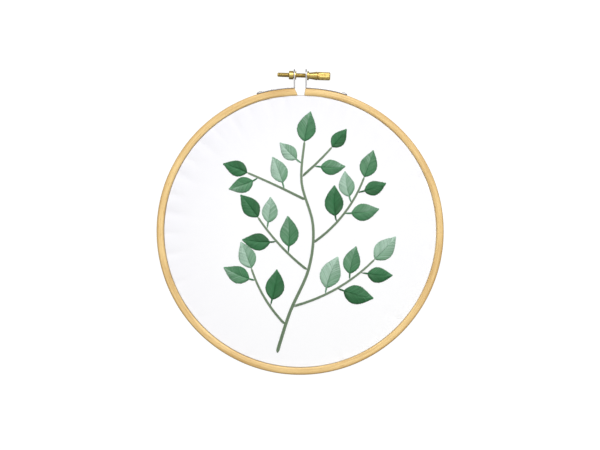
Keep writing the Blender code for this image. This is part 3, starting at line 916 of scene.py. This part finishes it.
def placeOn(route, share):
    left = share * routeLength(route)
    for start, end in zip(route, route[1:]):
        run = (end - start).length
        if left <= run or end is route[-1]:
            break
        left -= run
    way = end - start
    return start + way * (left / run), degrees(atan2(way.y, way.x))


def clearStart(carrierHalf, half, turn):
    angle = radians(abs(turn))
    return (carrierHalf + sprig["gap"] + half * cos(angle)) / sin(angle)


def raised(point, z):
    return Vector(((point.x + sprigCentre.x) * mm, (point.y + sprigCentre.y) * mm, z * mm))


# one stitch: a closed tube along a path, thinner where it dives into the cloth
def addStrand(store, path, radius, tone, sides=6, ends=0.7):
    rows, marks = [], []
    along = 0.0
    for i, point in enumerate(path):
        before, after = path[max(0, i - 1)], path[min(len(path) - 1, i + 1)]
        forward = (after - before).normalized()
        side = forward.cross(up).normalized()
        over = side.cross(forward)
        r = radius * mm * (ends if i in (0, len(path) - 1) else 1)
        if i:
            along += (point - before).length / mm
        row = []
        for k in range(sides):
            angle = tau * (k + 0.5) / sides
            row.append(point + side * (r * cos(angle)) + over * (r * 0.9 * sin(angle)))
            marks.append((tone, along + 0.001, cos(angle)))
        rows.append(row)
    addRows(store, rows, marks=marks)


# a leaf's blade: its line, its half width at each share of its length, and any spot on it
def makeBlade(start, heading, length, bend, stalk):
    route = bentRoute(start, heading, stalk + length, bend)
    peak = length * sprig["leafRatio"] / 2

    def half(t):
        return peak * max(0.0, sin(pi * clamp(t) ** sprig["leafTaper"])) ** sprig["leafRoundness"]

    def spot(t, across):
        point, way = placeOn(route, (stalk + clamp(t) * length) / (stalk + length))
        return point + across * sideways(way)

    return {"route": route, "length": length, "stalk": stalk, "half": half, "spot": spot}


def edgeShares(blade, side, spacing):
    shares, last, run = [], blade["spot"](0, 0), 0.0
    for t in evenly(sprig["edgeSteps"])[1:-1]:
        point = blade["spot"](t, side * blade["half"](t))
        run += (point - last).length
        last = point
        if run >= spacing:
            run -= spacing
            shares.append(t)
    return shares


def leafTone(tones, t, side):
    atStalk, towardsTip, paintedLitSide = leafStitch["toneRun"]
    # the tone darkens at the stalk and lightens to the tip as dye; one side is lighter as painted light
    share = clamp(atStalk + towardsTip * t + paintedLitSide * side)
    return mix(tones[0], tones[1], share) + rng.gauss(0, leafStitch["toneNoise"])


# the layer of thread that fills a leaf out under its stitches, in a darker tone that is painted shade
# between the strands
def addPad(store, blade, tone):
    sides = [mix(-1, 1, share) for share in evenly(8)]
    spots = [(across, leafPad["crown"] * (1 - across ** 2)) for across in sides]
    spots += [(0.5, -leafPad["sink"]), (-0.5, -leafPad["sink"])]
    rows = []
    for t in evenly(20)[1:-1]:
        half = blade["half"](t) * leafPad["share"]
        rows.append([raised(blade["spot"](t, across * half), faceTop + lift) for across, lift in spots])
    addRows(store, rows, marks=[(tone, 0.001, 0)] * (len(rows) * len(spots)))


def addLeafStitches(store, blade, tones):
    length, look = blade["length"], leafStitch
    lifts = list(zip(evenly(len(look["lifts"]) - 1), look["lifts"]))
    slope = 1 / tan(radians(look["slant"]))
    # the pad is real padding; its darker tone is painted shade
    addPad(store, blade, tones[0] * leafPad["tone"])
    strands = [(t, side) for side in (1, -1) for t in edgeShares(blade, side, look["spacing"])]
    for t, side in sorted(strands):
        width = blade["half"](t)
        root = max(look["rootShare"] * t, t - width * slope / length)
        reach = width + rng.uniform(*look["reach"])
        path = []
        for s, lift in lifts:
            across = side * mix(-look["overlap"], reach, s)
            along = mix(root, t, s) + look["bow"] * sin(pi * s)
            height = faceTop + lift * clamp(look["leastLift"] + width / look["flatness"])
            path.append(raised(blade["spot"](along, across), height + rng.uniform(0, look["loose"])))
        radius = look["radius"] * rng.uniform(1 - look["uneven"], 1 + look["uneven"])
        addStrand(store, path, radius, leafTone(tones, t, side))
    tip = [raised(blade["spot"](mix(look["tipFrom"], 1.0, s), 0), faceTop + lift) for s, lift in lifts]
    addStrand(store, tip, look["radius"], leafTone(tones, 1, 0))


# rows of stem stitch side by side, each stitch starting beside the last one's middle
def addStemRows(store, route, halves, rows, tones, level, root=stemStitch["run"]):
    total = routeLength(route)
    look = stemStitch
    for row in range(rows):
        place = -root + rng.uniform(0, look["advance"]) * (row > 0)
        lane = 0 if rows == 1 else mix(-1, 1, row / (rows - 1))
        while place < total + look["run"] - 1:
            reach = min(look["length"] * rng.uniform(*look["lengths"]), total + look["run"] - place)
            path = []
            for s in evenly(6):
                share = (place + reach * s) / total
                half = mix(halves[0], halves[1], clamp(share))
                radius = half / max(rows, 1.6) * look["thickness"]
                point, heading = placeOn(route, clamp(share))
                point = onward(point, heading, (share - clamp(share)) * total)
                fromEnd = min(share * total + root, (1 - share) * total + look["run"])
                gathered = smoothStep(-look["gather"] / 2, look["gather"], fromEnd)
                across = (lane * (half - radius * 0.9) + look["slant"] * (2 * s - 1)) * gathered
                lift = radius / 2 + look["lift"] * sin(pi * s) ** 0.6 - look["sink"]
                path.append(raised(point + sideways(heading) * across, level + lift))
            spread = rng.uniform(-look["toneSpread"], look["toneSpread"])
            tone = mix(tones[0], tones[1], clamp(place / total)) + spread
            addStrand(store, path, radius * rng.uniform(*look["radii"]), tone)
            place += look["advance"] * rng.uniform(1 - look["uneven"], 1 + look["uneven"])


# the work's underside: stitches laid straighter, with carried threads between the leaves
def addLeafUnder(store, blade, tones):
    look = backStitch
    for side in (1, -1):
        for t in edgeShares(blade, side, look["spacing"]):
            width = blade["half"](t)
            start = t + rng.uniform(-look["slip"], look["slip"])
            lean = rng.uniform(-look["leanSpread"], look["leanSpread"])
            end = clamp(t - width * look["lean"] / blade["length"] + lean, 0.02, 0.98)
            far = width * rng.uniform(*look["reaches"])
            path = []
            for s in evenly(3):
                hang = look["hang"] + rng.uniform(0, look["loose"]) if 0 < s < 1 else -look["loose"]
                spot = blade["spot"](mix(start, end, s), side * mix(far, -look["overlap"], s))
                path.append(raised(spot, faceUnder - hang))
            addStrand(store, path, look["radius"], leafTone(tones, t, side), sides=5)


def addCarried(store, start, end, tone):
    way = end - start
    bow = Vector((-way.y, way.x)) * rng.uniform(-carried["bow"], carried["bow"])
    path = []
    for s in evenly(8):
        swing = sin(pi * s)
        hang = carried["hang"] * (0.6 + 0.6 * swing) if 0 < s < 1 else 0.0
        path.append(raised(start + way * s + bow * swing, faceUnder - hang))
    addStrand(store, path, backStitch["radius"], tone, sides=5)


leavesMade = []  # a spot on each, for the threads carried underneath
leafUnder = newStore()
stemUnder = newStore()


def makeLeaf(start, heading, length, bend, stalk, tone, root=0.0):
    blade = makeBlade(start, heading, length, bend, stalk)
    tones = leafStitch["tones"][tone]
    store = newStore()
    addLeafStitches(store, blade, tones)
    if stalk > sprig["gap"]:
        reach = (stalk + sprig["stalkRun"]) / (stalk + length)
        stalkRoute = [placeOn(blade["route"], reach * i / 6)[0] for i in range(7)]
        addStemRows(store, stalkRoute, (sprig["stalkHalf"], sprig["stalkHalf"]), 2,
                    (tones[0], tones[0] + 0.1), faceTop, root)
    name = f"leaf_{len(leavesMade) + 1:02d}"
    buildPiece(f"stitched_{name}", store, leafThread, leafStitch["slots"][tone], instead=name)
    addLeafUnder(leafUnder, blade, tones)
    here = blade["spot"](0.3, 0)
    if leavesMade and (here - leavesMade[-1]).length < carried["longest"]:
        addCarried(leafUnder, leavesMade[-1], here, tones[0])
    leavesMade.append(here)


def makeStem(name, route, halves, rows, root=stemStitch["run"]):
    store = newStore()
    addStemRows(store, route, halves, rows, sprig["stemTones"], faceTop, root)
    buildPiece(f"stitched_{name}", store, stemThread, "thread_stem", instead=name)
    addStemRows(stemUnder, route, (halves[0] * 0.5, halves[1] * 0.5), 1, sprig["underTones"],
                faceUnder - backStitch["under"])


def makeTipLeaf(route, length, bend, tone):
    point, way = placeOn(route, 1)
    makeLeaf(onward(point, way, sprig["gap"]), way, length, bend, sprig["gap"], tone)


# a leaf on a stalk beside a stem or twig; halves are the half widths that it clears and starts in
def makeSideLeaf(route, share, turn, length, bend, tone, halves):
    point, way = placeOn(route, share)
    way += turn
    clear = clearStart(halves[0], sprig["stalkHalf"], turn)
    makeLeaf(onward(point, way, clear), way, length, bend, sprig["stalk"], tone,
             clear - sprig["tucked"] * halves[1])


def makeSprig():
    step("stitches")
    stem = smoothRoute(sprig["stem"], sprig["stepsPerSpan"])
    stemHalf, twigHalf = sprig["stemHalf"], sprig["twigHalf"]
    makeStem("main_stem", stem, stemHalf, 4)
    for index, (at, turn, length, bend, leaves, leafLength, tones) in enumerate(twigs, start=1):
        point, heading = placeOn(stem, at)
        heading += turn
        clear = clearStart(stemHalf[0], twigHalf[0], turn)
        route = bentRoute(onward(point, heading, clear), heading, length, bend)
        makeStem(f"twig_{index}", route, twigHalf, 3, clear - sprig["tucked"] * stemHalf[0])
        outward = -1 if turn > 0 else 1
        for leaf in range(leaves):
            spread = leaf / max(1, leaves - 1)
            side = outward if leaf % 2 == 0 and leaves > 1 else -outward
            makeSideLeaf(route, mix(sprig["firstLeafAt"], sprig["lastLeafAt"], spread),
                         side * sprig["leafSpread"], leafLength * (1 - sprig["leafShrink"] * leaf),
                         -side * sprig["leafBend"], tones[leaf], (twigHalf[0], twigHalf[0]))
        makeTipLeaf(route, leafLength * sprig["tipLeafSize"], sprig["tipLeafBend"], tones[-1])
    makeTipLeaf(stem, **topLeaf)
    makeSideLeaf(stem, **sideLeaf, halves=stemHalf)


makeSprig()
buildPiece("leafThreadsUnder", leafUnder, leafThread, "thread_dark")
buildPiece("stemThreadsUnder", stemUnder, stemThread, "thread_stem")


# floor, light and camera
def makeFloor():
    mesh = bpy.data.meshes.new("floor")
    mesh.from_pydata([(-4, -4, 0), (4, -4, 0), (4, 4, 0), (-4, 4, 0)], [], [(0, 1, 2, 3)])
    floor = addObject("floor", mesh)
    floor.location.z = -0.1 * mm  # just clear of the rings' backs
    grey = light["floor"]
    material, tree, shader = newMaterial("paleFloor", Base_Color=(grey, grey, grey, 1), Roughness=0.9)
    paper = addNode(tree, "Emission")
    paper.inputs["Strength"].default_value = light["paper"]
    seen = addNode(tree, "LightPath").outputs["Is Camera Ray"]
    share = times(tree, seen, light["paperShare"])
    blend = addNode(tree, "MixShader", share, shader.outputs[0], paper.outputs[0])
    feed(tree, tree.nodes["Material Output"].inputs["Surface"], blend.outputs[0])
    mesh.materials.append(material)


def makeLight():
    world = bpy.data.worlds.new("softSky")
    scene.world = world
    world.use_nodes = True
    tree = world.node_tree
    x, y, z = splitVector(tree, addNode(tree, "TexCoord").outputs["Generated"])
    height = mathNode(tree, "POWER", mathNode(tree, "ABSOLUTE", z), light["rise"])
    brightness = scaled(tree, height, light["zenith"] - light["horizon"], light["horizon"])
    brightness = times(tree, brightness, scaled(tree, y, light["lean"], 1.0))
    seen = addNode(tree, "LightPath").outputs["Is Camera Ray"]
    brightness = mathNode(tree, "MAXIMUM", brightness, times(tree, seen, light["paper"]))
    feed(tree, tree.nodes["Background"].inputs["Strength"], brightness)
    tree.nodes["Background"].inputs["Color"].default_value = (1, 1, 1, 1)
    for name, look in light["lamps"].items():
        lamp = bpy.data.lights.new(name, "AREA")
        lamp.energy = look["power"]
        lamp.size = look["size"]
        panel = addObject(name, lamp)
        panel.location = look["place"]
        panel.rotation_euler = (-Vector(look["place"])).to_track_quat("-Z", "Y").to_euler()


def makeCamera():
    pixel = 2 * hoop["radius"] / camera["ringPixels"]
    ringX, ringY = camera["ringCentrePixel"]
    lens = bpy.data.cameras.new("camera")
    lens.sensor_width = camera["sensor"]
    lens.lens = camera["sensor"] * camera["distance"] / (camera["imageWidth"] * pixel)
    lens.clip_start = 0.01
    view = addObject("camera", lens)
    view.location = (hoop["centre"].x + (camera["imageWidth"] / 2 - ringX) * pixel,
                     hoop["centre"].y + (ringY - camera["imageHeight"] / 2) * pixel,
                     hoop["height"] + camera["distance"])
    scene.camera = view


step("floor, light and camera")
makeFloor()
makeLight()
makeCamera()
scene.view_settings.view_transform = "Standard"
